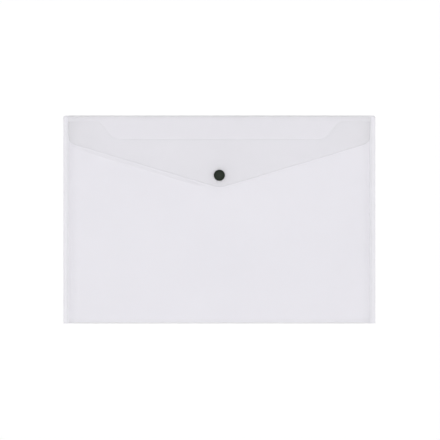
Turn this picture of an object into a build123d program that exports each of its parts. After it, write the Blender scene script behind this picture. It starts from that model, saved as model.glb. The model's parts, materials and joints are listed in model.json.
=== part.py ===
from build123d import *
import os
from math import asin, atan, atan2, degrees, hypot, sin, sqrt

os.makedirs("parts", exist_ok=True)

# Document wallet of clear film, lying on its back: X across, Y up towards the flap's fold, Z out of the front.
# All lengths are in millimetres.

# Sheet and pouch
wallet_width = 355.0
wallet_height = 236.8
film = 0.2  # thickness of the sheet
pouch_gap = 5.0  # room between the back and front panels
top_corner_radius = 5.5  # rounded ends of the top edge
overrun = 1.0  # how far a cutting shape passes the face that it cuts

# Side welds, where the two panels are melted together
weld_width = 6.0
weld_groove_width = 1.8  # line that the welding bar presses in
weld_groove_depth = 0.15
weld_groove_inset = 0.9  # from the weld's inner edge to the groove
seam_gap = 0.1  # panels just parted at the weld's inner edge
rise_width = 11.0  # the front panel climbs off the weld over this width

# Bottom fold
fold_leg = 4.0  # straight film on each side of the round
pinch_steps = 6  # sections over which the fold flattens into a weld

# Mouth of the pouch: shoulders near the top edge, and a wide cut-out between them
shoulder_drop = 7.4  # from the top edge
mouth_depth = 20.2  # from the shoulders
mouth_half_width = 120.5
mouth_slope_run = 15.0  # the cut-out widens by this on each side
mouth_round = 11.0

# Spine between the two creases of the top fold
spine_lean = 2.5  # the upper crease lies this far inside the lower one
crease_clearance = 0.1

# Flap: straight sides down from the top edge, then slanted edges to a rounded point
flap_side_drop = 31.5
flap_side_taper = 1.5
flap_point_depth = 51.0  # from the sides' ends to where the slanted edges would meet
flap_corner_round = 9.0
flap_tip_round = 25.0

# Press stud: a cap and a socket on the flap, a stud and a rivet on the front panel
stud_to_point = 14.2  # from the stud's centre to where the slanted edges would meet
cap_radius = 6.3
cap_rim_height = 0.8
cap_dome_height = 0.7
cap_edge_chamfer = 0.35
post_radius = 0.8
post_clearance = 0.1
head_overlap = 0.5  # the post's end is spread by this to hold the stud or the socket
head_height = 0.5
head_chamfer = 0.2
head_clearance = 0.35
floor_height = 0.6  # moulding under the head of a post
flange_height = 0.8
flange_lip = 0.9  # the flanges pass the socket's boss by this
bulb_wall = 0.8
bulb_swell = 0.25  # the bulb's middle stands out from its waist
bulb_tip_gap = 0.15
socket_height = 2.3
socket_undercut = 0.28  # the well is wider than its mouth
socket_lip_height = 0.5
socket_boss_wall = 1.2
snap_clearance = 0.12
mating_gap = 0.1
moulding_chamfer = 0.18

# Places worked out from the sizes above
top_y = wallet_height / 2
bottom_y = -wallet_height / 2
shoulder_y = top_y - shoulder_drop
mouth_y = shoulder_y - mouth_depth
shoulder_half_width = mouth_half_width + mouth_slope_run
flap_side_y = top_y - flap_side_drop
flap_point_y = flap_side_y - flap_point_depth
stud_y = flap_point_y + stud_to_point
fold_radius = pouch_gap / 2 + film
split_y = bottom_y + fold_radius + fold_leg
weld_x = wallet_width / 2 - weld_width
fold_half_width = wallet_width / 2 - top_corner_radius
front_under = film + pouch_gap
front_top = front_under + film
flap_under = front_top + flange_height + mating_gap + socket_height
flap_top = flap_under + film
lower_crease_y = top_y - film / 2
lower_crease_z = film / 2
upper_crease_y = lower_crease_y - spine_lean
upper_crease_z = flap_under + film / 2
post_hole_radius = post_radius + post_clearance
head_radius = post_radius + head_overlap
bulb_bore_radius = head_radius + head_clearance
bulb_waist_radius = bulb_bore_radius + bulb_wall
bulb_radius = bulb_waist_radius + bulb_swell
socket_mouth_radius = bulb_radius + snap_clearance
socket_well_radius = socket_mouth_radius + socket_undercut
socket_boss_radius = socket_well_radius + socket_boss_wall
flange_radius = socket_boss_radius + flange_lip
stud_axis = Axis((0, stud_y, 0), (0, 0, 1))

# The front panel climbs off each weld on two equal arcs
rise_height = pouch_gap - seam_gap
rise_turn = 2 * atan(rise_height / rise_width)
rise_radius = rise_width / (2 * sin(rise_turn))


def both_sides(points):
    """Points of a right-hand outline, followed by their mirror images in reverse order."""
    return points + [(-x, y) for x, y in reversed(points)]


def gap_between_panels(x):
    """Height of the pouch at x: full in the middle, nearly closed at a weld."""
    run = min(weld_x - abs(x), rise_width)
    from_end = min(run, rise_width - run)
    arc_height = rise_radius - sqrt(rise_radius**2 - from_end**2)
    climbed = arc_height if run < rise_width / 2 else rise_height - arc_height
    return seam_gap + climbed


def moulding_plane(seat_z, facing):
    """Plane for a moulding's half section: its x is the radius, its y leaves the film at seat_z."""
    return Plane(origin=(0, stud_y, seat_z), x_dir=(1, 0, 0), z_dir=(0, -facing, 0))


def crease_round(y, z):
    """End view of the film's rounded edge along a crease, about the line that it turns on."""
    with BuildSketch(Plane.YZ) as edge:
        with Locations((y, z)):
            Circle(film / 2)
    return edge.sketch


# Back panel: one film, as wide as the welds above the shoulders
with BuildPart() as back_panel:
    with BuildSketch() as back_plan:
        back_right = [
            (weld_x, split_y),
            (weld_x, shoulder_y),
            (wallet_width / 2, shoulder_y),
            (wallet_width / 2, lower_crease_y),
        ]
        Polygon(*both_sides(back_right), align=None)
        fillet(back_plan.vertices().group_by(Axis.Y)[-1], top_corner_radius)
    extrude(amount=film)
    extrude(crease_round(lower_crease_y, lower_crease_z), amount=fold_half_width, both=True)
back_panel.part.label = "back_panel"

# Front panel: flat, curving down to the weld at each side, with a wide cut-out at the mouth
with BuildPart() as front_panel:
    with BuildSketch(Plane.XZ.offset(-shoulder_y)):
        with BuildLine():
            foot = JernArc((-weld_x, film + seam_gap), (1, 0), rise_radius, degrees(rise_turn))
            brow = JernArc(foot @ 1, foot % 1, rise_radius, -degrees(rise_turn))
            Line(brow @ 1, (0, front_under))
            mirror(about=Plane.YZ)
            offset(amount=film, side=Side.LEFT)
        make_face()
    extrude(amount=shoulder_y - split_y)
    with BuildSketch() as front_plan:
        front_right = [
            (weld_x + overrun, split_y - overrun),
            (weld_x + overrun, shoulder_y),
            (shoulder_half_width, shoulder_y),
            (mouth_half_width, mouth_y),
        ]
        Polygon(*both_sides(front_right), align=None)
        fillet(front_plan.vertices().group_by(Axis.Y)[1], mouth_round)
        fillet(front_plan.vertices().group_by(Axis.Y)[-1].sort_by(Axis.X)[1:3], mouth_round)
    extrude(amount=front_top + overrun, mode=Mode.INTERSECT)
    with Locations((0, stud_y, front_top)):
        Hole(post_hole_radius)
front_panel.part.label = "front_panel"

# Bottom fold: the round turn from back to front, pinched flat into the welds at its ends
steps = [step / pinch_steps for step in range(pinch_steps + 1)]
right_stations = [weld_x - rise_width * share for share in reversed(steps)]
left_stations = [-x for x in reversed(right_stations)]
with BuildPart() as bottom_fold:
    for x in left_stations + right_stations:
        inner = gap_between_panels(x) / 2
        outer = inner + film
        centre_y = bottom_y + outer
        with BuildSketch(Plane.YZ.offset(x)):
            with BuildLine():
                Line((split_y, 2 * outer), (centre_y, 2 * outer))
                CenterArc((centre_y, outer), outer, 90, 90)
                CenterArc((centre_y, outer), outer, 180, 90)
                Line((centre_y, 0), (split_y, 0))
                Line((split_y, 0), (split_y, film))
                Line((split_y, film), (centre_y, film))
                CenterArc((centre_y, outer), inner, 270, -90)
                CenterArc((centre_y, outer), inner, 180, -90)
                Line((centre_y, outer + inner), (split_y, outer + inner))
                Line((split_y, outer + inner), (split_y, 2 * outer))
            make_face()
    loft(ruled=True)
bottom_fold.part.label = "bottom_fold"

# Side welds: both films melted into one strip, with the line that the welding bar leaves
weld_height = 2 * film + seam_gap
side_welds = []
for name, side in (("left_side_weld", -1), ("right_side_weld", 1)):
    strip_x = side * (weld_x + weld_width / 2)
    groove_x = side * (weld_x + weld_groove_inset + weld_groove_width / 2)
    with BuildPart() as side_weld:
        with BuildSketch(Plane.XZ.offset(-shoulder_y)):
            with Locations((strip_x, weld_height / 2)):
                Rectangle(weld_width, weld_height)
            with Locations((groove_x, weld_height)):
                Rectangle(weld_groove_width, 2 * weld_groove_depth, mode=Mode.SUBTRACT)
        extrude(amount=shoulder_y - bottom_y)
    side_weld.part.label = name
    side_welds.append(side_weld)

# Spine: the narrow strip that stands between the two creases
spine_rise = upper_crease_z - lower_crease_z
spine_length = hypot(spine_rise, spine_lean) - 2 * (film / 2 + crease_clearance)
spine_angle = degrees(atan2(spine_rise, -spine_lean))
with BuildPart() as spine:
    with BuildSketch(Plane.YZ):
        with Locations(((lower_crease_y + upper_crease_y) / 2, (lower_crease_z + upper_crease_z) / 2)):
            Rectangle(spine_length, film, rotation=spine_angle)
    extrude(amount=fold_half_width, both=True)
spine.part.label = "spine"

# Flap: straight sides, slanted edges and a rounded tip
with BuildPart() as flap:
    with BuildSketch(Plane.XY.offset(flap_under)) as flap_plan:
        flap_right = [
            (fold_half_width, upper_crease_y),
            (fold_half_width - flap_side_taper, flap_side_y),
        ]
        flap_left = [(-x, y) for x, y in reversed(flap_right)]
        Polygon(*flap_right, (0, flap_point_y), *flap_left, align=None)
        fillet(flap_plan.vertices().group_by(Axis.Y)[1], flap_corner_round)
        fillet(flap_plan.vertices().sort_by(Axis.Y)[0], flap_tip_round)
    extrude(amount=film)
    extrude(crease_round(upper_crease_y, upper_crease_z), amount=fold_half_width, both=True)
    with Locations((0, stud_y, flap_top)):
        Hole(post_hole_radius)
flap.part.label = "flap"

# Cap and rivet: one moulding, used on the flap's outside and inside the pouch
cap_height = cap_rim_height + cap_dome_height
dome_radius = (cap_radius**2 + cap_dome_height**2) / (2 * cap_dome_height)
dome_angle = degrees(asin(cap_radius / dome_radius))
post_length = film + floor_height
caps = []
for name, seat_z, facing in (("flap_cap", flap_top, 1), ("front_rivet", front_under, -1)):
    with BuildPart() as cap:
        with BuildSketch(moulding_plane(seat_z, facing)) as cap_half:
            with BuildLine():
                CenterArc((0, cap_height - dome_radius), dome_radius, 90, -dome_angle)
                Polyline(
                    (cap_radius, cap_rim_height),
                    (cap_radius, 0),
                    (post_radius, 0),
                    (post_radius, -post_length),
                    (head_radius, -post_length),
                    (head_radius, -post_length - head_height),
                    (0, -post_length - head_height),
                    (0, cap_height),
                )
            make_face()
            chamfer(cap_half.vertices().group_by(Axis.X)[-1].sort_by(Axis.Y)[-1], cap_edge_chamfer)
            chamfer(cap_half.vertices().group_by(Axis.Y)[0].sort_by(Axis.X)[-1], head_chamfer)
        revolve(axis=stud_axis)
    cap.part.label = name
    caps.append(cap)

# Stud: a flange on the front panel with a hollow bulb
bulb_top = flange_height + mating_gap + socket_height - floor_height - bulb_tip_gap
bulb_middle = (flange_height + bulb_top) / 2
with BuildPart() as front_stud:
    with BuildSketch(moulding_plane(front_top, 1)) as stud_half:
        with BuildLine():
            Polyline(
                (bulb_bore_radius, bulb_top),
                (bulb_bore_radius, floor_height),
                (post_hole_radius, floor_height),
                (post_hole_radius, 0),
                (flange_radius, 0),
                (flange_radius, flange_height),
                (bulb_waist_radius, flange_height),
            )
            ThreePointArc(
                (bulb_waist_radius, flange_height),
                (bulb_radius, bulb_middle),
                (bulb_waist_radius, bulb_top),
            )
            Line((bulb_waist_radius, bulb_top), (bulb_bore_radius, bulb_top))
        make_face()
        chamfer(stud_half.vertices().group_by(Axis.X)[-1].sort_by(Axis.Y)[-1], moulding_chamfer)
        chamfer(stud_half.vertices().group_by(Axis.Y)[-1].sort_by(Axis.X)[-1], moulding_chamfer)
    revolve(axis=stud_axis)
front_stud.part.label = "front_stud"

# Socket: a flange under the flap with a well whose lip the bulb passes
with BuildPart() as flap_socket:
    with BuildSketch(moulding_plane(flap_under, -1)) as socket_half:
        with BuildLine():
            Polyline(
                (post_hole_radius, 0),
                (flange_radius, 0),
                (flange_radius, flange_height),
                (socket_boss_radius, flange_height),
                (socket_boss_radius, socket_height),
                (socket_mouth_radius, socket_height),
                (socket_mouth_radius, socket_height - socket_lip_height),
                (socket_well_radius, socket_height - socket_lip_height),
                (socket_well_radius, floor_height),
                (post_hole_radius, floor_height),
                close=True,
            )
        make_face()
        chamfer(socket_half.vertices().group_by(Axis.X)[-1].sort_by(Axis.Y)[-1], moulding_chamfer)
        chamfer(socket_half.vertices().group_by(Axis.Y)[-1], moulding_chamfer)
    revolve(axis=stud_axis)
flap_socket.part.label = "flap_socket"

for piece in (back_panel, front_panel, bottom_fold, *side_welds, spine, flap, *caps, front_stud, flap_socket):
    export_step(piece.part, f"parts/{piece.part.label}.step")
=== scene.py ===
import json
import math

import bmesh
import bpy
from mathutils import Matrix, Vector
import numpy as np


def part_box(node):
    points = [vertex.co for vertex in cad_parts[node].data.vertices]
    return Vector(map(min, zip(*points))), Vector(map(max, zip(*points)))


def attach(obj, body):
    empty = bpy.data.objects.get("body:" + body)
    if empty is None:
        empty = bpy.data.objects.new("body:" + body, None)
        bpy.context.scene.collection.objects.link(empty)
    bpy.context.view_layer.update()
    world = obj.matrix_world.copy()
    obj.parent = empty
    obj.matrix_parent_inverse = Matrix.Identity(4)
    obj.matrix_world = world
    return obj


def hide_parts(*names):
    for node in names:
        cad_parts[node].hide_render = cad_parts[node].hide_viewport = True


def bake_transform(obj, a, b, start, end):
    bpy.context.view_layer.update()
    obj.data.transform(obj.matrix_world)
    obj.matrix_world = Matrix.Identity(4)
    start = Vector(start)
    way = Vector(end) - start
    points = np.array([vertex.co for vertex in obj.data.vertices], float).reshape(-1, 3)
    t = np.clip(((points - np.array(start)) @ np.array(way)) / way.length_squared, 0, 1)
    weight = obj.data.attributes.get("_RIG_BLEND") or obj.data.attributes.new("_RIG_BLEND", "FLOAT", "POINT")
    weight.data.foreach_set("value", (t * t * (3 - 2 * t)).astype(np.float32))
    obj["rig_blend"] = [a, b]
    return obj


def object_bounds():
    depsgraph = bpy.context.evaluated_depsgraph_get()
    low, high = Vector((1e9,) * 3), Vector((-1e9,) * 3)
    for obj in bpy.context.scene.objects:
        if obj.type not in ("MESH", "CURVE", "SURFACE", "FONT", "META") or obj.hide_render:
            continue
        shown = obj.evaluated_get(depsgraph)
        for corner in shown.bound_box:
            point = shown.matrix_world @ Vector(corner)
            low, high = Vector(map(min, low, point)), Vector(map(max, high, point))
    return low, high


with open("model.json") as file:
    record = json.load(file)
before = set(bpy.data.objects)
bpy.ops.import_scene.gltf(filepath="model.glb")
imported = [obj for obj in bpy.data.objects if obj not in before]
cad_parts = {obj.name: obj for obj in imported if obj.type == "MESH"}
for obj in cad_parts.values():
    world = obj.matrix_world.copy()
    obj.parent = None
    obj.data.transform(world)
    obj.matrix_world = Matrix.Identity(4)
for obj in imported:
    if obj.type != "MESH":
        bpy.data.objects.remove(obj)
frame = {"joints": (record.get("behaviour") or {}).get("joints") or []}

bl_info = {
    "name": "Document wallet",
    "version": (1, 0, 0),
    "blender": (4, 5, 0),
    "location": "3D View > Sidebar > Wallet",
    "description": "Models a document wallet of clear film, with its welds and press stud, around its solids",
    "category": "Object",
}

# The wallet lies on its back: X across, Y up towards the flap's fold, Z out of the front.
# Lengths are in metres.
MM = 0.001
CAD_LOW, CAD_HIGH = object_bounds()

# Places that the solids give
BACK_LOW, BACK_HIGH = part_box("back_panel")
FRONT_LOW, FRONT_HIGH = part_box("front_panel")
FLAP_LOW, FLAP_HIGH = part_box("flap")
SPINE_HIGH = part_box("spine")[1]
WELD_LOW, WELD_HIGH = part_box("right_side_weld")
CAP_LOW, CAP_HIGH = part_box("flap_cap")
STUD_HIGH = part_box("front_stud")[1]
SOCKET_LOW, SOCKET_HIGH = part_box("flap_socket")
LOWER_CREASE, UPPER_CREASE = (Vector(joint["pos_m"]) for joint in frame["joints"])
FILM = BACK_HIGH.z - BACK_LOW.z
FULL_GAP = FRONT_HIGH.z - 2 * FILM
SEAM_GAP = FRONT_LOW.z - FILM
FRONT_UNDER = FRONT_HIGH.z - FILM
FLAP_UNDER = FLAP_HIGH.z - FILM
TOP_Y = CAD_HIGH.y
BOTTOM_Y = CAD_LOW.y
SPLIT_Y = BACK_LOW.y
SHOULDER_Y = WELD_HIGH.y
STUD_Y = (CAP_LOW.y + CAP_HIGH.y) / 2
WELD_X = WELD_LOW.x
SIDE_X = WELD_HIGH.x
FOLD_X = SPINE_HIGH.x
SPINE_LINE = UPPER_CREASE - LOWER_CREASE
LOWER_TURN = math.atan2(SPINE_LINE.z, SPINE_LINE.y)
UPPER_TURN = math.pi - LOWER_TURN

X_AXIS = Vector((1, 0, 0))
Y_AXIS = Vector((0, 1, 0))
Z_AXIS = Vector((0, 0, 1))
OUTWARD = 1
INWARD = -1

# How finely the meshes are cut and rounded
CUT_TOLERANCE = 1e-6
SHARP_ANGLE = math.radians(35)
GRID_SPACING = 9 * MM
RISE_STEPS = 12
CREASE_STEPS = 8
FOLD_STEPS = 24
DOME_STEPS = 10
BULB_HALF_STEPS = 5
SPIN_STEPS = 72
CORNER_SEGMENTS = 10
TIP_SEGMENTS = 16
HOLE_SEGMENTS = 6
EDGE_SEGMENTS = 5

# A post's hole is made in a square patch. These are the patch's half side and the rounding, in hole radii.
HOLE_PATCH = 3
HOLE_ROUND = 0.98

# Ripple of the panels: where its waves start, how they slant, and the calm round the press stud
RIPPLE_START_ACROSS = 1.3
RIPPLE_START_UP = 0.4
RIPPLE_SLANT = 0.6
RIPPLE_UP_SHARE = 0.8
RIPPLE_CALM_SHARE = 0.25

# Marks that the film carries at its vertices, and over which strength that of a cut edge fades in. Some of
# these marks partly hold painted shade.
FILM_MARKS = ("cut_edge", "crease", "scuff_and_shade", "rubbed")
EDGE_FADE = (0.15, 0.85)
# How steeply the painted shade grows towards the flap's sides
SIDE_SHADE_POWER = 6
# Normals lean outwards at a rim, and with this gain it still counts as outside
RIM_GAIN = 1.6
# Over which height of its random pattern the plastic's rubbing fades in
RUB_FADE = (0.45, 0.75)

WHITE = (1, 1, 1, 1)
FILM_FACES_SEEN_THROUGH = 32


def length(name, description, default):
    """A length that a user can change, in metres."""
    return bpy.props.FloatProperty(
        name=name, description=description, default=default, precision=5, unit="LENGTH", subtype="DISTANCE"
    )


def share(name, description, default):
    """A share from 0 to 1 that a user can change."""
    return bpy.props.FloatProperty(
        name=name, description=description, default=default, min=0, max=1, subtype="FACTOR"
    )


def amount(name, description, default):
    """A plain number, 0 or more, that a user can change."""
    return bpy.props.FloatProperty(name=name, description=description, default=default, min=0)


def colour(name, description, default):
    """A colour that a user can change."""
    return bpy.props.FloatVectorProperty(
        name=name, description=description, default=default, min=0, max=1, size=3, subtype="COLOR"
    )


class WalletFilmSettings(bpy.types.PropertyGroup):
    """Shape and finish of the folded film, and its painted shade"""

    crease_radius: length("Crease radius", "Radius of the film at each crease of the top fold", 0.3 * MM)
    crease_inset: length("Crease inset", "From the upper crease to its mark on the flap", 0.9 * MM)
    crease_reach: length("Crease reach", "How far that mark reaches to each side", 0.9 * MM)
    rise_width: length("Rise width", "Width over which the front climbs off each weld", 11 * MM)
    mouth_depth: length("Mouth depth", "Depth of the mouth's cut-out below the shoulders", 20.2 * MM)
    mouth_half_width: length("Mouth half width", "Half the width of the cut-out's floor", 120.5 * MM)
    mouth_slope_run: length("Mouth slope", "Width of the slope at each end of the cut-out", 15 * MM)
    mouth_round: length("Mouth round", "Radius of the cut-out's corners", 11 * MM)
    ear_round: length("Ear round", "Radius of the back's top corners", 2.5 * MM)
    flap_side_drop: length("Flap side", "Straight side of the flap, from the top edge", 31.5 * MM)
    flap_side_taper: length("Flap taper", "How far the flap's sides draw in", 1.5 * MM)
    flap_point_depth: length("Flap point", "From the sides' ends to where the slants would meet", 51 * MM)
    flap_corner_round: length("Flap corner round", "Radius between a side and a slanted edge", 9 * MM)
    flap_tip_round: length("Flap tip round", "Radius of the flap's point", 25 * MM)
    edge_band: length("Edge band", "Width of the darker band along a cut edge", 0.9 * MM)
    ripple_height: length("Ripple", "How far the panels stray from flat", 0.12 * MM)
    ripple_length: length("Ripple length", "Distance from one ripple to the next", 110 * MM)
    post_hole_radius: length("Post hole", "Radius of the holes for the press stud's posts", 0.9 * MM)
    haze: share("Haze", "Share of light that one face of the film scatters", 0.014)
    haze_cloud: share("Haze cloud", "How far the haze varies over the film", 0.4)
    # Painted shade: the back's scatter stands partly for wear and partly for the shaded floor under the
    # wallet.
    scuff_haze: share("Scuff haze", "Scatter added by wear to each face of the back", 0.142)
    scuff_cloud: share("Scuff cloud", "How far the wear's scatter varies over the film", 0.1)
    edge_haze: share("Edge haze", "Scatter added along a cut edge", 0.15)
    # Painted shade: the crease mark darkens the slopes off the welds, the bottom fold and the welds' pressed
    # lines, besides the mark by the upper crease.
    crease_haze: share("Crease haze", "Scatter added where the film is creased", 0.055)
    # The spine lacks most of the back's wear and painted shade.
    spine_clearness: share("Spine clearness", "Share of the back's wear that the spine lacks", 0.9)
    flap_wear: share("Flap wear", "Wear of the flap's outside against that of the back", 0.37)
    # Painted shade: the flap is darker towards its sides and round the press stud.
    side_wear: amount("Side wear", "Share by which the flap's wear grows at its sides", 1.5)
    handled_wear: amount("Handled wear", "Share by which the flap's wear grows at the press stud", 0.5)
    # This reach is that of the painted shade round the press stud.
    handled_reach: length("Handled reach", "How far round the press stud hands rub the flap", 110 * MM)
    # The strip along the flap's left slanted edge is only made darker.
    strip_wear: share("Strip wear", "Wear of the strip of the front along the flap's left edge", 0.25)
    strip_width: length("Strip width", "Width of that strip", 4.4 * MM)
    strip_soft: length("Strip softness", "Width over which that strip fades out", 1.0 * MM)
    strip_middle_gap: length("Strip middle", "From the wallet's middle to that strip's lower end", 9 * MM)
    strip_side_gap: length("Strip side", "From the end of the top fold to that strip's upper end", 6 * MM)
    strip_fade: length("Strip fade", "Length over which that strip's ends fade out", 18 * MM)
    front_edge_mark: share("Front edge mark", "Strength of the band along the front's cut edge", 0.75)
    # Painted shade round the bottom fold and where the front meets a weld.
    fold_mark: share("Fold mark", "Strength of the mark round the bottom fold", 0.3)
    seam_mark: share("Seam mark", "Strength of the mark where the front meets a weld", 0.42)
    crease_mark: share("Crease mark", "Strength of the upper crease's mark on the flap", 0.16)
    haze_colour: colour("Haze colour", "Colour of the film's scatter", (0.85, 0.85, 0.86))
    # The back's scatter colour is darker partly as painted shade of the floor under the wallet.
    scuff_colour: colour("Scuff colour", "Colour of the back's scatter", (0.617, 0.592, 0.692))
    # The flap's wear, its painted shade and the front's darker strip take this colour.
    rub_colour: colour("Rub colour", "Colour of the scatter where the film is rubbed", (0.66, 0.655, 0.64))
    # This dark colour is also that of the painted shade at slopes, folds and pressed lines.
    edge_colour: colour("Edge colour", "Colour of the film's cut edges and creases", (0.34, 0.34, 0.37))
    clear_colour: colour("Clear colour", "Tint of light through one face of the film", (0.999, 0.999, 0.999))
    grain_scale: amount("Grain scale", "Features of the frosted grain in a metre", 2600)
    cloud_scale: amount("Cloud scale", "Features of the uneven haze in a metre", 9)
    grain_height: length("Grain height", "Height of the frosted grain", 0.005 * MM)
    roughness: share("Roughness", "Roughness of the film between its grains", 0.14)
    grain_roughness: share("Grain roughness", "Roughness that the grain adds", 0.16)
    refraction: amount("Refraction", "Refractive index of the film", 1.49)
    scatter_gloss: share("Scatter gloss", "Level of gloss on what scatters", 0.1)
    gloss_power: amount("Gloss power", "How steeply the gloss grows towards a glancing view", 5)


class WalletWeldSettings(bpy.types.PropertyGroup):
    """Shape, wear and painted shade of the side welds"""

    groove_width: length("Groove width", "Width of the line that the welding bar presses in", 1.2 * MM)
    groove_depth: length("Groove depth", "Depth of that line", 0.15 * MM)
    groove_inset: length("Groove inset", "From the weld's inner edge to that line", 0.75 * MM)
    ridge_pitch: length("Ridge pitch", "Spacing of the bar's fine ridges", 1.2 * MM)
    ridge_height: share("Ridge height", "Swing of the ridges against the line's depth", 0.2)
    # Painted shade in the pressed line.
    groove_mark: share("Groove mark", "Strength of the mark in that line", 0.44)
    flat_mark: share("Flat mark", "Strength of the mark beside that line", 0.1)
    edge_mark: share("Edge mark", "Strength of the band along the outer edge", 0.5)
    # The welds take this share of the back's wear and painted shade.
    wear: share("Wear", "Wear of the welds against that of the back", 0.92)


class WalletStudSettings(bpy.types.PropertyGroup):
    """Shape and finish of the press stud's four mouldings"""

    cap_rim_height: length("Cap rim", "Height of the cap's straight rim", 0.8 * MM)
    cap_edge_round: length("Cap round", "Radius of the cap's edge", 0.55 * MM)
    post_radius: length("Post radius", "Radius of the post through the film", 0.8 * MM)
    head_radius: length("Head radius", "Radius of the post's spread end", 1.3 * MM)
    head_height: length("Head height", "Height of the post's spread end", 0.5 * MM)
    floor_height: length("Floor", "Moulding under the head of a post", 0.6 * MM)
    flange_height: length("Flange", "Height of the flanges", 0.8 * MM)
    bulb_radius: length("Bulb radius", "Radius of the stud's bulb at its middle", 2.7 * MM)
    bulb_waist_radius: length("Bulb waist", "Radius of the bulb at its ends", 2.45 * MM)
    bulb_bore_radius: length("Bulb bore", "Radius of the hollow in the bulb", 1.65 * MM)
    boss_radius: length("Boss radius", "Radius of the socket's boss", 4.3 * MM)
    well_radius: length("Well radius", "Radius of the socket's well", 3.1 * MM)
    mouth_radius: length("Well mouth", "Radius of the well's lip", 2.82 * MM)
    lip_height: length("Well lip", "Height of the well's lip", 0.5 * MM)
    edge_round: length("Edge round", "Radius of the small edges", 0.16 * MM)
    plastic_colour: colour("Plastic", "Colour of the black plastic", (0.003, 0.009, 0.002))
    rubbed_colour: colour("Rubbed plastic", "Colour where the plastic is rubbed", (0.010, 0.016, 0.009))
    grain_scale: amount("Grain scale", "Features of the plastic's grain in a metre", 5200)
    rub_scale: amount("Rub scale", "Rubbed patches of the plastic in a metre", 700)
    grain_height: length("Grain height", "Height of the plastic's grain", 0.01 * MM)
    roughness: share("Roughness", "Roughness of the plastic", 0.42)
    rubbed_roughness: share("Rubbed roughness", "Roughness added where the plastic is rubbed", 0.14)
    grain_roughness: share("Grain roughness", "Roughness that the grain adds", 0.1)
    refraction: amount("Refraction", "Refractive index of the plastic", 1.26)


class WalletStageSettings(bpy.types.PropertyGroup):
    """Floor, light and camera"""

    floor_colour: colour("Floor", "Colour of the floor", (0.98, 0.98, 0.98))
    floor_size: length("Floor size", "Width of the floor", 16.0)
    floor_drop: length("Floor drop", "Gap between the wallet and the floor", 0.05 * MM)
    sky_strength: amount("Sky", "Strength of the sky's light overhead", 0.45)
    horizon_strength: amount("Horizon", "Strength of the sky's light from the sides", 0.25)
    sky_height: share("Sky height", "Height, as a sine, from which the sky is at its full strength", 0.6)
    key_strength: amount("Key", "Strength of the wide soft lamp overhead", 1.88)
    key_spread: bpy.props.FloatProperty(
        name="Key spread",
        description="Angle that the lamp fills",
        default=math.radians(26),
        min=0,
        subtype="ANGLE",
        unit="ROTATION",
    )
    view_width: length("View width", "Width of the picture at the welds", 500.76 * MM)
    sensor_width: amount("Sensor", "Width of the camera's sensor in millimetres", 36)
    camera_place: bpy.props.FloatVectorProperty(
        name="Camera place",
        description="Place of the camera, which looks straight down",
        default=(0.71 * MM, -0.73 * MM, 4.0),
        subtype="XYZ",
        unit="LENGTH",
    )


class Value:
    """A socket that takes part in sums: each operator adds a Math node to its material."""

    def __init__(self, finish, socket):
        self.finish = finish
        self.socket = socket

    def math(self, operation, *terms):
        return self.finish.add("ShaderNodeMath", {"operation": operation}, dict(enumerate(terms)))

    def __add__(self, other):
        return self.math("ADD", self, other)

    def __mul__(self, other):
        return self.math("MULTIPLY", self, other)

    def __pow__(self, other):
        return self.math("POWER", self, other)

    __radd__ = __add__
    __rmul__ = __mul__


class Finish:
    """A material, or the world, as its nodes are put together."""

    def __init__(self, owner):
        self.owner = owner
        owner.use_nodes = True
        self.tree = owner.node_tree
        self.tree.nodes.clear()

    def add(self, kind, settings=None, sockets=None, output=0):
        """Adds a node, sets it up, then fills or links its sockets. Returns one of its outputs."""
        node = self.tree.nodes.new(kind)
        for key, value in (settings or {}).items():
            setattr(node, key, value)
        for key, value in (sockets or {}).items():
            if isinstance(value, Value):
                self.tree.links.new(value.socket, node.inputs[key])
            else:
                node.inputs[key].default_value = value
        return Value(self, node.outputs[output]) if node.outputs else None

    def place(self):
        """Position on the piece, in metres."""
        return self.add("ShaderNodeTexCoord", output="Object")

    def attribute(self, name):
        """A number that the mesh carries at each vertex."""
        return self.add("ShaderNodeAttribute", {"attribute_name": name}, output="Fac")

    def noise(self, place, scale, detail=2.0, roughness=0.5):
        """Soft random pattern about one half, with features of 1 / scale metres."""
        sockets = {"Vector": place, "Scale": scale, "Detail": detail, "Roughness": roughness}
        return self.add("ShaderNodeTexNoise", None, sockets)

    def grain(self, place, scale):
        """Fine, sharper random pattern about one half."""
        return self.noise(place, scale, detail=3.0, roughness=0.6)

    def step(self, value, low, high):
        """Smooth step of value from 0 at low to 1 at high."""
        sockets = {"Value": value, "From Min": low, "From Max": high}
        return self.add("ShaderNodeMapRange", {"interpolation_type": "SMOOTHSTEP"}, sockets)

    def between(self, factor, first, second):
        """Colour between two colours."""
        first, second = (end if isinstance(end, Value) else (*end, 1) for end in (first, second))
        return self.add("ShaderNodeMix", {"data_type": "RGBA"}, {0: factor, 6: first, 7: second}, output=2)

    def bump(self, height, distance):
        """Normal of a surface raised by height times distance."""
        return self.add("ShaderNodeBump", None, {"Height": height, "Distance": distance})

    def layered(self, factor, under, over):
        """Two shaders, the second showing by factor."""
        return self.add("ShaderNodeMixShader", None, {0: factor, 1: under, 2: over})


def uneven(variation, pattern):
    """A factor about one that varies with a pattern about one half."""
    return 1 - variation / 2 + variation * pattern


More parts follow.
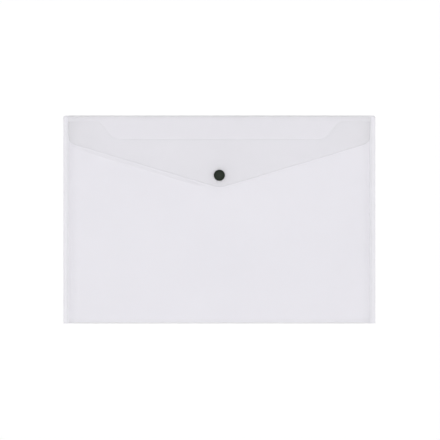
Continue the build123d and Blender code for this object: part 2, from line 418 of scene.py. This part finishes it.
def clear_film():
    """Clear polypropylene film: see-through, faintly violet, with a fine frosted grain and a soft gloss. Its
    scatter also carries painted shade.
    """
    settings = bpy.context.scene.wallet_film
    finish = Finish(bpy.data.materials.new("clear_film"))
    place = finish.place()
    cut_edge, crease, scuff_and_shade, rubbed = (finish.attribute(name) for name in FILM_MARKS)
    grain = finish.grain(place, settings.grain_scale)
    cloud = finish.noise(place, settings.cloud_scale, detail=1.0)
    edge = finish.step(cut_edge, *EDGE_FADE) * cut_edge
    # Cut edges, and the painted shade at slopes, folds and pressed lines, take the dark colour.
    edge_and_shade_line = edge + crease
    # The haze adds the wear and painted shade of the back and the flap, the front's darker strip, and painted
    # shade at creases.
    haze = (
        settings.haze * uneven(settings.haze_cloud, cloud)
        + settings.scuff_haze * (scuff_and_shade + rubbed) * uneven(settings.scuff_cloud, cloud)
        + settings.edge_haze * edge
        + settings.crease_haze * crease
    )
    # The back's and the flap's scatter colours carry painted shade as well as wear.
    back_wear_and_shade_colour = finish.between(scuff_and_shade, settings.haze_colour, settings.scuff_colour)
    body_colour = finish.between(rubbed, back_wear_and_shade_colour, settings.rub_colour)
    scatter_colour = finish.between(edge_and_shade_line, body_colour, settings.edge_colour)
    grained = finish.bump(grain, settings.grain_height)
    roughness = settings.roughness + settings.grain_roughness * grain
    clear = finish.add("ShaderNodeBsdfTransparent", None, {"Color": (*settings.clear_colour, 1)})
    scatter = finish.add(
        "ShaderNodeBsdfPrincipled",
        None,
        {
            "Base Color": scatter_colour,
            "Roughness": roughness,
            "IOR": settings.refraction,
            "Specular IOR Level": settings.scatter_gloss,
            "Normal": grained,
        },
    )
    gloss = finish.add("ShaderNodeBsdfGlossy", None, {"Roughness": roughness, "Normal": grained})
    glancing = finish.add("ShaderNodeLayerWeight", output="Facing")
    body = finish.layered(haze, clear, scatter)
    film = finish.layered(glancing**settings.gloss_power, body, gloss)
    finish.add("ShaderNodeOutputMaterial", None, {"Surface": film})
    return finish.owner


def black_plastic():
    """Black satin plastic, a little rubbed in patches."""
    settings = bpy.context.scene.wallet_stud
    finish = Finish(bpy.data.materials.new("black_plastic"))
    place = finish.place()
    grain = finish.grain(place, settings.grain_scale)
    rubbed = finish.step(finish.noise(place, settings.rub_scale), *RUB_FADE)
    roughness = settings.roughness + settings.rubbed_roughness * rubbed + settings.grain_roughness * grain
    plastic = finish.add(
        "ShaderNodeBsdfPrincipled",
        None,
        {
            "Base Color": finish.between(rubbed, settings.plastic_colour, settings.rubbed_colour),
            "Roughness": roughness,
            "IOR": settings.refraction,
            "Normal": finish.bump(grain, settings.grain_height),
        },
    )
    finish.add("ShaderNodeOutputMaterial", None, {"Surface": plastic})
    return finish.owner


def pale_floor():
    """Plain pale floor."""
    settings = bpy.context.scene.wallet_stage
    finish = Finish(bpy.data.materials.new("pale_floor"))
    plain = finish.add("ShaderNodeBsdfDiffuse", None, {"Color": (*settings.floor_colour, 1)})
    finish.add("ShaderNodeOutputMaterial", None, {"Surface": plain})
    return finish.owner


def shared_finish(make):
    """The material that make builds under its own name, built once."""
    return bpy.data.materials.get(make.__name__) or make()


def clamped(value, highest=1.0):
    """The value, kept from 0 to the highest."""
    return min(max(value, 0.0), highest)


def both_sides(points):
    """Points of a right-hand outline, followed by their mirror images in reverse order."""
    return points + [(-x, y) for x, y in reversed(points)]


def evenly(low, high, spacing):
    """Places from low to high, both included, about a spacing apart."""
    steps = max(1, round((high - low) / spacing))
    return [low + (high - low) * step / steps for step in range(steps + 1)]


def clear_of(places, centre, reach):
    """The places that are further than reach from centre."""
    return [place for place in places if abs(place - centre) > reach]


def film_mesh():
    """An empty mesh whose vertices can carry the film's marks."""
    bm = bmesh.new()
    for name in FILM_MARKS:
        bm.verts.layers.float.new(name)
    return bm


def marks(bm, *names):
    """The layers that hold these marks."""
    return [bm.verts.layers.float[name] for name in names]


def sheet(points):
    """A flat sheet of film with this outline, and the corners of the outline."""
    bm = film_mesh()
    corners = [bm.verts.new((x, y, 0)) for x, y in points]
    bm.faces.new(corners)
    return bm, corners


def round_corner(bm, corner, radius, segments=CORNER_SEGMENTS):
    """Rounds a corner of a flat face to an arc of this radius."""
    first, second = ((edge.other_vert(corner).co - corner.co).normalized() for edge in corner.link_edges)
    setback = radius / math.tan(first.angle(second) / 2)
    bmesh.ops.bevel(
        bm, geom=[corner], offset=setback, segments=segments, profile=0.5, affect="VERTICES", material=-1
    )


def band_cut_edge(bm, width, mark_at):
    """Insets a band along a sheet's outline, marked by the strength that mark_at gives for a point."""
    (cut_edge,) = marks(bm, "cut_edge")
    for vert in bm.verts:
        vert[cut_edge] = mark_at(vert.co)
    bmesh.ops.inset_region(bm, faces=bm.faces[:], thickness=width, use_even_offset=True, use_boundary=True)
    for vert in bm.verts:
        if not vert.is_boundary:
            vert[cut_edge] = 0.0


def cut_lines(bm, axis, places):
    """Cuts the mesh across axis at each place."""
    for place in places:
        geometry = bm.verts[:] + bm.edges[:] + bm.faces[:]
        bmesh.ops.bisect_plane(bm, geom=geometry, dist=CUT_TOLERANCE, plane_co=axis * place, plane_no=axis)


def face_at(bm, point):
    """The face whose middle is nearest to a point."""
    return min(bm.faces, key=lambda face: (face.calc_center_median() - point).length)


def cut_hole(bm, centre, radius, reach):
    """Cuts a round hole in the square face about centre, whose half side is reach."""
    patch = face_at(bm, centre)
    bmesh.ops.inset_individual(bm, faces=[patch], thickness=reach - radius, use_even_offset=True)
    bmesh.ops.bevel(
        bm,
        geom=face_at(bm, centre).verts[:],
        offset=HOLE_ROUND * radius,
        segments=HOLE_SEGMENTS,
        profile=0.5,
        affect="VERTICES",
        material=-1,
    )
    bmesh.ops.delete(bm, geom=[face_at(bm, centre)], context="FACES")


def thicken(bm, thickness):
    """Gives a sheet its thickness, half on each side."""
    bm.normal_update()
    for vert in bm.verts:
        vert.co += vert.normal * thickness / 2
    bmesh.ops.solidify(bm, geom=bm.faces[:], thickness=thickness)


def put_in_order(bm):
    """Orders points and faces by place, as some operators leave them in another order each run."""
    by_place = sorted(bm.verts, key=lambda vert: tuple(vert.co))
    for index, vert in enumerate(by_place):
        vert.index = index
    bm.verts.sort()
    by_points = sorted(bm.faces, key=lambda face: sorted(vert.index for vert in face.verts))
    for index, face in enumerate(by_points):
        face.index = index
    bm.faces.sort()


def finished_piece(name, bm, material):
    """Makes the mesh an object at the origin, smooth but for its sharp edges."""
    bmesh.ops.remove_doubles(bm, verts=bm.verts, dist=CUT_TOLERANCE)
    bmesh.ops.recalc_face_normals(bm, faces=bm.faces)
    put_in_order(bm)
    for face in bm.faces:
        face.smooth = True
    mesh = bpy.data.meshes.new(name)
    bm.to_mesh(mesh)
    bm.free()
    mesh.set_sharp_from_angle(angle=SHARP_ANGLE)
    mesh.materials.append(material)
    piece = bpy.data.objects.new(name, mesh)
    bpy.context.scene.collection.objects.link(piece)
    return piece


def pouch_gap(x, rise_width):
    """Room between the panels at x: full in the middle, hardly any at a weld, two equal arcs between."""
    height = FULL_GAP - SEAM_GAP
    turn = 2 * math.atan(height / rise_width)
    radius = rise_width / (2 * math.sin(turn))
    run = clamped(WELD_X - abs(x), rise_width)
    from_end = min(run, rise_width - run)
    climbed = radius - math.sqrt(radius**2 - from_end**2)
    return SEAM_GAP + (climbed if run < rise_width / 2 else height - climbed)


def ripple(x, y, settings):
    """Slight waviness of a loose panel, none at the press stud."""
    phase_x = math.tau * x / settings.ripple_length
    phase_y = math.tau * y / settings.ripple_length
    calm = settings.ripple_length * RIPPLE_CALM_SHARE
    near_stud = math.exp(-(x**2 + (y - STUD_Y) ** 2) / calm**2)
    across = math.sin(phase_x + RIPPLE_START_ACROSS + RIPPLE_SLANT * phase_y)
    up = math.cos(RIPPLE_UP_SHARE * phase_y + RIPPLE_START_UP)
    return settings.ripple_height * across * up * (1 - near_stud)


def slanted_edge(settings):
    """Upper and lower end of the flap's right slanted edge, before its corners are rounded."""
    side_y = TOP_Y - settings.flap_side_drop
    return (FOLD_X - settings.flap_side_taper, side_y), (0, side_y - settings.flap_point_depth)


class Crease:
    """A rounded crease across a flat film, which goes on from there to the middle of the spine."""

    def __init__(self, y, turn, radius):
        self.turn = turn
        self.radius = radius
        self.tangent = radius * math.tan(turn / 2)
        self.start = y - self.tangent
        self.end = self.start + radius * turn
        self.spine_middle = self.end + SPINE_LINE.length / 2 - self.tangent

    def lines(self):
        """Places at which the film is cut so that it can bend."""
        return evenly(self.start, self.end, self.radius * self.turn / CREASE_STEPS)

    def bent(self, run):
        """Height up the panel and distance off it of the film that lay at run when flat."""
        past = run - self.start
        angle = clamped(past / self.radius, self.turn)
        straight = past - angle * self.radius
        along = self.radius * math.sin(angle) + straight * math.cos(angle)
        off = self.radius * (1 - math.cos(angle)) + straight * math.sin(angle)
        return self.start + along, off


class PouchFold:
    """How the pouch's flat film folds. Below the back its run goes on round the bottom fold to the front."""

    def __init__(self, settings):
        self.settings = settings
        self.crease = Crease(LOWER_CREASE.y, LOWER_TURN, settings.crease_radius)
        self.turn_radius = (FULL_GAP + FILM) / 2
        self.flat_leg = SPLIT_Y - (BOTTOM_Y + self.turn_radius + FILM / 2)
        self.turn_start = SPLIT_Y - self.flat_leg
        self.turn_length = math.pi * self.turn_radius
        self.front_start = SPLIT_Y - (2 * self.flat_leg + self.turn_length)

    def on_front(self, y):
        """Run of the film that folds round to y on the front."""
        return self.front_start + SPLIT_Y - y

    def turned(self, run):
        """How far round the bottom fold the film is."""
        return clamped((self.turn_start - run) / self.turn_radius, math.pi)

    def folded(self, point):
        """Where a point of the flat film lies on the wallet."""
        x, run = point.x, point.y
        half = (pouch_gap(x, self.settings.rise_width) + FILM) / 2
        if run >= SPLIT_Y:
            y, off = self.crease.bent(run)
            return Vector((x, y, FILM / 2 + off))
        if run >= self.front_start:
            turned = self.turned(run)
            leg = SPLIT_Y - (BOTTOM_Y + half + FILM / 2)
            straight = min(SPLIT_Y - run, run - self.front_start, self.flat_leg) / self.flat_leg
            y = SPLIT_Y - leg * straight - half * math.sin(turned)
            return Vector((x, y, FILM / 2 + half * (1 - math.cos(turned))))
        y = self.on_front(run)
        loose = clamped((y - SPLIT_Y) / self.settings.ripple_length)
        lift = ripple(x, y, self.settings) * loose * (half / self.turn_radius) ** 2
        return Vector((x, y, FILM / 2 + 2 * half + lift))


class RubbedStrip:
    """The darker strip of the pouch's flat film that lies along the flap's left slanted edge."""

    def __init__(self, settings, fold):
        side, point = slanted_edge(settings)
        self.settings = settings
        self.fold = fold
        self.start = Vector((-side[0], fold.on_front(side[1]), 0))
        end = Vector((point[0], fold.on_front(point[1]), 0))
        self.off = (end - self.start).cross(-Z_AXIS).normalized()

    def cut(self, bm):
        """Cuts the front's left half where the strip's darkening starts, is full, and ends again."""
        width = self.settings.strip_width
        soft = self.settings.strip_soft
        for place in (0, soft, width, width + soft):
            middles = ((face, face.calc_center_median()) for face in bm.faces)
            faces = [face for face, middle in middles if middle.x < 0 and middle.y < self.fold.front_start]
            geometry = dict.fromkeys(part for face in faces for part in (face, *face.edges, *face.verts))
            bmesh.ops.bisect_plane(
                bm,
                geom=list(geometry),
                dist=CUT_TOLERANCE,
                plane_co=self.start + self.off * place,
                plane_no=self.off,
            )

    def wear(self, point):
        """How much the strip darkens the front at a point of the flat film."""
        settings = self.settings
        off = (point - self.start).dot(self.off)
        from_side = min(off, settings.strip_width + settings.strip_soft - off)
        from_lower_end = -settings.strip_middle_gap - point.x
        from_upper_end = FOLD_X - settings.strip_side_gap + point.x
        from_end = min(from_lower_end, from_upper_end)
        within = clamped(from_side / settings.strip_soft) * clamped(from_end / settings.strip_fade)
        return settings.strip_wear * within


class WALLET_OT_pouch(bpy.types.Operator):
    """Back, bottom fold and front in one film, up to the middle of the spine"""

    bl_idname = "wallet.pouch"
    bl_label = "Pouch film"

    def execute(self, context):
        settings = context.scene.wallet_film
        fold = PouchFold(settings)
        strip = RubbedStrip(settings, fold)
        bm = self.blank(settings, fold)
        self.cut_grid(bm, settings, fold)
        strip.cut(bm)
        self.mark(bm, settings, fold, strip)
        for vert in bm.verts:
            vert.co = fold.folded(vert.co)
        thicken(bm, FILM)
        piece = finished_piece("pouch_film", bm, shared_finish(clear_film))
        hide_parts("back_panel", "bottom_fold", "front_panel")
        bend_start = Vector((0, fold.crease.start, FILM / 2))
        bend_end = LOWER_CREASE + SPINE_LINE.normalized() * fold.crease.tangent
        climb = (bend_end - bend_start).dot(Y_AXIS + Z_AXIS) / 2
        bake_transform(piece, "pouch", "spine", bend_start, bend_start + (Y_AXIS + Z_AXIS) * climb)
        return {"FINISHED"}

    def blank(self, settings, fold):
        """The flat film, with its corners rounded and its cut edges marked."""
        mouth_y = SHOULDER_Y - settings.mouth_depth
        spine_end = fold.crease.spine_middle
        outline = [
            (settings.mouth_half_width, fold.on_front(mouth_y)),
            (settings.mouth_half_width + settings.mouth_slope_run, fold.on_front(SHOULDER_Y)),
            (WELD_X, fold.on_front(SHOULDER_Y)),
            (WELD_X, SHOULDER_Y),
            (SIDE_X, SHOULDER_Y),
            (SIDE_X, fold.crease.start),
            (FOLD_X, fold.crease.start),
            (FOLD_X, spine_end),
        ]
        bm, corners = sheet(both_sides(outline))
        for corner in (*corners[:2], *corners[-2:]):
            round_corner(bm, corner, settings.mouth_round)
        ear = outline.index((SIDE_X, fold.crease.start))
        for corner in (corners[ear], corners[-1 - ear]):
            round_corner(bm, corner, settings.ear_round)

        def cut_mark(point):
            """The mark of a cut edge: weaker on the front, none along the folds and the welds."""
            if point.y < fold.front_start:
                return settings.front_edge_mark
            return float(SHOULDER_Y < point.y < spine_end - CUT_TOLERANCE)

        band_cut_edge(bm, settings.edge_band, cut_mark)
        return bm

    def cut_grid(self, bm, settings, fold):
        """Cuts the film where it bends or ripples, and the hole for the rivet's post."""
        reach = HOLE_PATCH * settings.post_hole_radius
        stud_run = fold.on_front(STUD_Y)
        flat_x = WELD_X - settings.rise_width
        rises = evenly(flat_x, WELD_X, settings.rise_width / RISE_STEPS)
        flat = evenly(-flat_x, flat_x, GRID_SPACING)
        across = clear_of(flat, 0, reach) + rises + [-x for x in rises] + [-reach, reach]
        back = evenly(SPLIT_Y, fold.crease.start, GRID_SPACING)
        turn = evenly(fold.turn_start, fold.turn_start - fold.turn_length, -fold.turn_length / FOLD_STEPS)
        front = evenly(fold.on_front(SHOULDER_Y), fold.front_start, GRID_SPACING)
        along = back + fold.crease.lines() + turn + [SPLIT_Y, fold.front_start]
        along += clear_of(front, stud_run, reach) + [stud_run - reach, stud_run + reach]
        cut_lines(bm, X_AXIS, across)
        cut_lines(bm, Y_AXIS, along)
        cut_hole(bm, Vector((0, stud_run, 0)), settings.post_hole_radius, reach)

    def mark(self, bm, settings, fold, strip):
        """Marks painted shade round the bottom fold and where the front climbs off a weld, the wear and
        painted shade of the back, and the darker strip of the front.
        """
        crease, scuff_and_shade, rubbed = marks(bm, "crease", "scuff_and_shade", "rubbed")
        for vert in bm.verts:
            run = vert.co.y
            turned = fold.turned(run)
            if run < SPLIT_Y:
                risen = clamped((WELD_X - abs(vert.co.x)) / settings.rise_width)
                # Painted shade round the bottom fold and where the front climbs off a weld.
                vert[crease] = max(settings.fold_mark * math.sin(turned), settings.seam_mark * (1 - risen))
            if run < fold.front_start:
                # The front's strip along the flap's left edge is made darker.
                vert[rubbed] = strip.wear(vert.co)
            up_crease = clamped((run - fold.crease.start) / (fold.crease.end - fold.crease.start))
            # The back's wear and painted shade, fading round the bottom fold and up the crease.
            vert[scuff_and_shade] = max(0.0, math.cos(turned)) * (1 - settings.spine_clearness * up_crease)


class WALLET_OT_flap(bpy.types.Operator):
    """Flap in one film with the upper half of the spine"""

    bl_idname = "wallet.flap"
    bl_label = "Flap film"

    def execute(self, context):
        settings = context.scene.wallet_film
        crease = Crease(UPPER_CREASE.y, UPPER_TURN, settings.crease_radius)
        mark_y = crease.start - settings.crease_inset
        bm = self.blank(settings, crease)
        self.cut_grid(bm, settings, crease, mark_y)
        self.fold(bm, settings, crease, mark_y)
        thicken(bm, FILM)
        bmesh.ops.recalc_face_normals(bm, faces=bm.faces)
        bm.normal_update()
        self.rub(bm, settings)
        piece = finished_piece("flap_film", bm, shared_finish(clear_film))
        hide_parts("flap", "spine")
        bend_start = UPPER_CREASE - SPINE_LINE.normalized() * crease.tangent
        bend_end = Vector((0, crease.start, bend_start.z))
        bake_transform(piece, "spine", "flap", bend_start, bend_end)
        return {"FINISHED"}

    def blank(self, settings, crease):
        """The flat film, with its corners rounded and its cut edges marked."""
        side, point = slanted_edge(settings)
        outline = [side, (FOLD_X, crease.start), (FOLD_X, crease.spine_middle)]
        bm, corners = sheet([point, *both_sides(outline)])
        round_corner(bm, corners[0], settings.flap_tip_round, TIP_SEGMENTS)
        for corner in (corners[1], corners[-1]):
            round_corner(bm, corner, settings.flap_corner_round)
        spine_end = crease.spine_middle - CUT_TOLERANCE
        band_cut_edge(bm, settings.edge_band, lambda place: float(place.y < spine_end))
        return bm

    def cut_grid(self, bm, settings, crease, mark_y):
        """Cuts the film where it bends, ripples or is marked, and the hole for the cap's post."""
        reach = HOLE_PATCH * settings.post_hole_radius
        across = clear_of(evenly(-FOLD_X, FOLD_X, GRID_SPACING), 0, reach) + [-reach, reach]
        along = clear_of(evenly(FLAP_LOW.y, crease.start, GRID_SPACING), STUD_Y, reach) + crease.lines()
        along += [mark_y - settings.crease_reach, mark_y, mark_y + settings.crease_reach]
        along += [STUD_Y - reach, STUD_Y + reach]
        cut_lines(bm, X_AXIS, across)
        cut_lines(bm, Y_AXIS, along)
        cut_hole(bm, Vector((0, STUD_Y, 0)), settings.post_hole_radius, reach)

    def fold(self, bm, settings, crease, mark_y):
        """Marks the upper crease, then bends the spine down and ripples the flap."""
        (creased,) = marks(bm, "crease")
        for vert in bm.verts:
            x, run = vert.co.x, vert.co.y
            vert[creased] = settings.crease_mark * clamped(1 - abs(run - mark_y) / settings.crease_reach)
            y, off = crease.bent(run)
            loose = clamped((crease.start - run) / settings.ripple_length)
            vert.co = (x, y, UPPER_CREASE.z - off + ripple(-x, run, settings) * loose)

    def rub(self, bm, settings):
        """Marks the wear of the flap's outside, with painted shade added at its sides and round the press
        stud.
        """
        (rubbed,) = marks(bm, "rubbed")
        for vert in bm.verts:
            towards_side = abs(vert.co.x) / FOLD_X
            from_stud = math.hypot(vert.co.x, vert.co.y - STUD_Y) / settings.handled_reach
            # Painted shade at the flap's sides and round the press stud.
            by_side_shade = settings.side_wear * towards_side**SIDE_SHADE_POWER
            by_stud_shade = settings.handled_wear * max(0.0, 1 - from_stud**2)
            outside = clamped(RIM_GAIN * vert.normal.dot(Z_AXIS))
            vert[rubbed] = settings.flap_wear * (1 + by_side_shade + by_stud_shade) * outside


class WALLET_OT_welds(bpy.types.Operator):
    """Strip down each side where the films are melted together, with the welding bar's line"""

    bl_idname = "wallet.welds"
    bl_label = "Side welds"

    def execute(self, context):
        for node in ("left_side_weld", "right_side_weld"):
            self.weld(node, context.scene.wallet_weld, context.scene.wallet_film.edge_band)
        return {"FINISHED"}

    def weld(self, node, settings, edge_band):
        """One strip: a block, cut along the bar's line and across its ridges, then marked and pressed in."""
        low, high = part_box(node)
        side = math.copysign(1, low.x)
        bm = film_mesh()
        block = Matrix.Translation((low + high) / 2) @ Matrix.Diagonal((*(high - low), 1))
        bmesh.ops.create_cube(bm, size=1, matrix=block)
        groove_start = WELD_X + settings.groove_inset
        groove_end = groove_start + settings.groove_width
        lines = [
            groove_start,
            groove_start + settings.groove_depth,
            (groove_start + groove_end) / 2,
            groove_end - settings.groove_depth,
            groove_end,
            SIDE_X - edge_band,
        ]
        cut_lines(bm, X_AXIS, [side * x for x in lines])
        cut_lines(bm, Y_AXIS, evenly(low.y, high.y, settings.ridge_pitch / 2)[1:-1])
        cut_edge, crease, scuff_and_shade = marks(bm, "cut_edge", "crease", "scuff_and_shade")
        for vert in bm.verts:
            x = abs(vert.co.x)
            pressed = groove_start + CUT_TOLERANCE < x < groove_end - CUT_TOLERANCE
            vert[cut_edge] = settings.edge_mark * (x > SIDE_X - CUT_TOLERANCE)
            # Painted shade in the pressed line, and a faint mark beside it.
            vert[crease] = settings.groove_mark if pressed else settings.flat_mark
            # The weld takes the back's wear and painted shade.
            vert[scuff_and_shade] = settings.wear
            if pressed and vert.co.z > FILM:
                ridge = settings.ridge_height * math.cos(math.tau * vert.co.y / settings.ridge_pitch)
                vert.co.z -= settings.groove_depth * (1 - settings.ridge_height + ridge)
        piece = finished_piece(node + "_film", bm, shared_finish(clear_film))
        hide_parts(node)
        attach(piece, "pouch")


class WALLET_OT_press_stud(bpy.types.Operator):
    """Cap and socket on the flap, stud and rivet on the front"""

    bl_idname = "wallet.press_stud"
    bl_label = "Press stud"

    def execute(self, context):
        settings = context.scene.wallet_stud
        hole = context.scene.wallet_film.post_hole_radius
        cap = self.cap_section(settings)
        self.moulding("flap_cap", *cap, FLAP_HIGH.z, OUTWARD, "flap")
        self.moulding("front_rivet", *cap, FRONT_UNDER, INWARD, "pouch")
        self.moulding("front_stud", *self.stud_section(settings, hole), FRONT_HIGH.z, OUTWARD, "pouch")
        self.moulding("flap_socket", *self.socket_section(settings, hole), FLAP_UNDER, INWARD, "flap")
        return {"FINISHED"}

    def cap_section(self, settings):
        """Half section of the cap and its post, as radius and height, and the radii of its round corners."""
        rim = CAP_HIGH.x
        top = CAP_HIGH.z - FLAP_HIGH.z
        dome_height = top - settings.cap_rim_height
        dome_radius = (rim**2 + dome_height**2) / (2 * dome_height)
        dome_angle = math.asin(rim / dome_radius)
        dome = [
            (dome_radius * math.sin(angle), top - dome_radius * (1 - math.cos(angle)))
            for angle in evenly(dome_angle, 0, -dome_angle / DOME_STEPS)
        ]
        post_end = -FILM - settings.floor_height
        tail = [
            (0, post_end - settings.head_height),
            (settings.head_radius, post_end - settings.head_height),
            (settings.head_radius, post_end),
            (settings.post_radius, post_end),
            (settings.post_radius, 0),
            (rim, 0),
        ]
        head_edge = 1
        rim_foot = len(tail) - 1
        rounds = {
            head_edge: settings.edge_round,
            rim_foot: settings.edge_round,
            rim_foot + 1: settings.cap_edge_round,
        }
        return tail + dome, rounds

    def stud_section(self, settings, hole):
        """Half section of the stud: a flange and a hollow bulb."""
        flange = STUD_HIGH.x
        top = STUD_HIGH.z - FRONT_HIGH.z
        half = (top - settings.flange_height) / 2
        swell = settings.bulb_radius - settings.bulb_waist_radius
        curve = (half**2 + swell**2) / (2 * swell)
        reach = math.asin(half / curve)
        middle = settings.flange_height + half
        bulb = [
            (settings.bulb_radius - curve * (1 - math.cos(angle)), middle + curve * math.sin(angle))
            for angle in evenly(-reach, reach, reach / BULB_HALF_STEPS)
        ]
        foot = [(hole, 0), (flange, 0), (flange, settings.flange_height)]
        bore = [
            (settings.bulb_bore_radius, top),
            (settings.bulb_bore_radius, settings.floor_height),
            (hole, settings.floor_height),
        ]
        flange_edge = len(foot) - 1
        lip = flange_edge + len(bulb)
        rounds = {
            flange_edge: settings.edge_round,
            lip: settings.edge_round,
            lip + 1: settings.edge_round / 2,
        }
        return foot + bulb + bore, rounds

    def socket_section(self, settings, hole):
        """Half section of the socket: a flange and a well with a lip."""
        flange = SOCKET_HIGH.x
        top = FLAP_UNDER - SOCKET_LOW.z
        points = [
            (hole, 0),
            (flange, 0),
            (flange, settings.flange_height),
            (settings.boss_radius, settings.flange_height),
            (settings.boss_radius, top),
            (settings.mouth_radius, top),
            (settings.mouth_radius, top - settings.lip_height),
            (settings.well_radius, top - settings.lip_height),
            (settings.well_radius, settings.floor_height),
            (hole, settings.floor_height),
        ]
        flange_edge, boss_edge, lip_top, lip_under = 2, 4, 5, 6
        rounds = dict.fromkeys((flange_edge, boss_edge, lip_top, lip_under), settings.edge_round)
        return points, rounds

    def moulding(self, node, section, rounds, seat_z, way, body):
        """Rounds a half section's corners, spins it about the stud's axis and seats it on the film."""
        bm = bmesh.new()
        corners = [bm.verts.new((radius, 0, height)) for radius, height in section]
        bm.faces.new(corners)
        for corner, radius in rounds.items():
            round_corner(bm, corners[corner], radius, EDGE_SEGMENTS)
        bmesh.ops.delete(bm, geom=bm.faces[:], context="FACES_ONLY")
        on_axis = [edge for edge in bm.edges if all(vert.co.x < CUT_TOLERANCE for vert in edge.verts)]
        bmesh.ops.delete(bm, geom=on_axis, context="EDGES")
        bmesh.ops.spin(
            bm,
            geom=bm.verts[:] + bm.edges[:],
            cent=(0, 0, 0),
            axis=Z_AXIS,
            angle=math.tau,
            steps=SPIN_STEPS,
            use_merge=True,
        )
        bmesh.ops.scale(bm, vec=(1, 1, way), verts=bm.verts)
        bmesh.ops.translate(bm, vec=(0, STUD_Y, seat_z), verts=bm.verts)
        piece = finished_piece(node + "_moulding", bm, shared_finish(black_plastic))
        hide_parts(node)
        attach(piece, body)


class WALLET_OT_stage(bpy.types.Operator):
    """Pale floor, soft sky, one wide lamp overhead and the camera"""

    bl_idname = "wallet.stage"
    bl_label = "Stage"

    def execute(self, context):
        scene = context.scene
        settings = scene.wallet_stage
        scene.view_settings.view_transform = "Standard"
        scene.cycles.transparent_max_bounces = FILM_FACES_SEEN_THROUGH
        self.floor(scene, settings)
        self.light(scene, settings)
        self.camera(scene, settings)
        return {"FINISHED"}

    def floor(self, scene, settings):
        """A wide floor just below the wallet."""
        bm = bmesh.new()
        bmesh.ops.create_grid(bm, x_segments=1, y_segments=1, size=settings.floor_size / 2)
        bmesh.ops.translate(bm, vec=(0, 0, -settings.floor_drop), verts=bm.verts)
        mesh = bpy.data.meshes.new("floor")
        bm.to_mesh(mesh)
        bm.free()
        mesh.materials.append(shared_finish(pale_floor))
        floor = bpy.data.objects.new("floor", mesh)
        scene.collection.objects.link(floor)

    def light(self, scene, settings):
        """A sky that is brighter overhead, and a lamp that shines straight down."""
        scene.world = bpy.data.worlds.new("soft_light")
        sky = Finish(scene.world)
        overhead, sides = (
            sky.add("ShaderNodeBackground", None, {"Color": WHITE, "Strength": strength})
            for strength in (settings.sky_strength, settings.horizon_strength)
        )
        direction = sky.add("ShaderNodeTexCoord", output="Generated")
        height = sky.add("ShaderNodeSeparateXYZ", None, {"Vector": direction}, output="Z")
        light = sky.layered(sky.step(height, 0.0, settings.sky_height), sides, overhead)
        sky.add("ShaderNodeOutputWorld", None, {"Surface": light})
        lamp = bpy.data.lights.new("key", "SUN")
        lamp.angle = settings.key_spread
        lamp.energy = settings.key_strength
        scene.collection.objects.link(bpy.data.objects.new("key", lamp))

    def camera(self, scene, settings):
        """A camera that looks straight down and sees the view's width at the welds."""
        lens = bpy.data.cameras.new("camera")
        lens.sensor_width = settings.sensor_width
        lens.lens = settings.sensor_width * (settings.camera_place[2] - WELD_HIGH.z) / settings.view_width
        camera = bpy.data.objects.new("camera", lens)
        camera.location = settings.camera_place
        scene.collection.objects.link(camera)
        scene.camera = camera


class WALLET_PT_sidebar(bpy.types.Panel):
    """The wallet's operators and settings"""

    bl_idname = "WALLET_PT_sidebar"
    bl_label = "Document wallet"
    bl_space_type = "VIEW_3D"
    bl_region_type = "UI"
    bl_category = "Wallet"

    def draw(self, context):
        for operator in OPERATORS:
            self.layout.operator(operator.bl_idname)
        for name, group in SETTINGS.items():
            box = self.layout.box()
            for setting in group.__annotations__:
                box.prop(getattr(context.scene, name), setting)


SETTINGS = {
    "wallet_film": WalletFilmSettings,
    "wallet_weld": WalletWeldSettings,
    "wallet_stud": WalletStudSettings,
    "wallet_stage": WalletStageSettings,
}
OPERATORS = (WALLET_OT_pouch, WALLET_OT_flap, WALLET_OT_welds, WALLET_OT_press_stud, WALLET_OT_stage)


def register():
    for group in (*SETTINGS.values(), *OPERATORS, WALLET_PT_sidebar):
        bpy.utils.register_class(group)
    for name, group in SETTINGS.items():
        setattr(bpy.types.Scene, name, bpy.props.PointerProperty(type=group))


def unregister():
    for name in SETTINGS:
        delattr(bpy.types.Scene, name)
    for group in (WALLET_PT_sidebar, *reversed(OPERATORS), *SETTINGS.values()):
        bpy.utils.unregister_class(group)


def main():
    register()
    bpy.ops.wallet.pouch()
    bpy.ops.wallet.flap()
    bpy.ops.wallet.welds()
    bpy.ops.wallet.press_stud()
    bpy.ops.wallet.stage()


if __name__ == "__main__":
    main()
